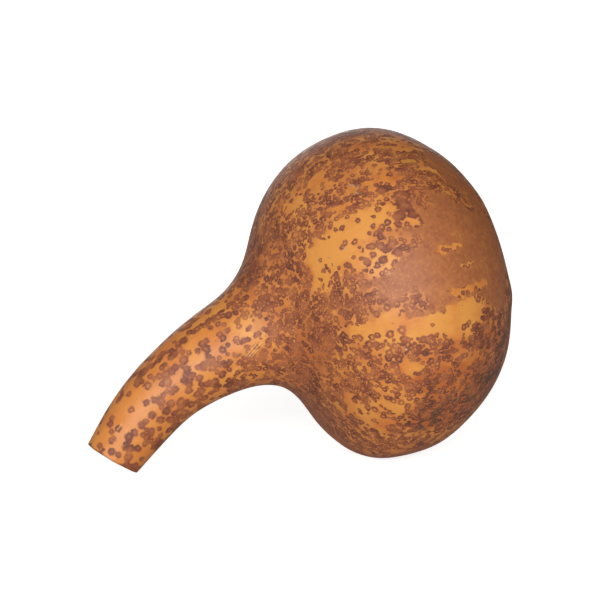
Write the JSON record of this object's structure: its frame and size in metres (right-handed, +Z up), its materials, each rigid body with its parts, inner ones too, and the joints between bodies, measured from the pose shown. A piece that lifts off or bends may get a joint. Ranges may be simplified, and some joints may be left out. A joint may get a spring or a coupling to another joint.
{
  "type": "dried bottle gourd",
  "caption": "Dried bottle gourd with a squat round bulb and a curved neck that is sawn off square, lying on its side.",
  "frame": {"origin": "middle of the bounding box's underside, on the surface that the gourd rests on", "axes": "+Z up, +X along the gourd's length from the sawn neck end towards the blossom end, +Y towards its far side"},
  "size_m": [0.299, 0.2352, 0.229],
  "materials": {
    "rind": "hard dried rind with a satin wax sheen, orange tan under overlapping reddish brown mould spots"
  },
  "bodies": {
    "root": {"gourd": "rind"}
  },
  "joints": []
}
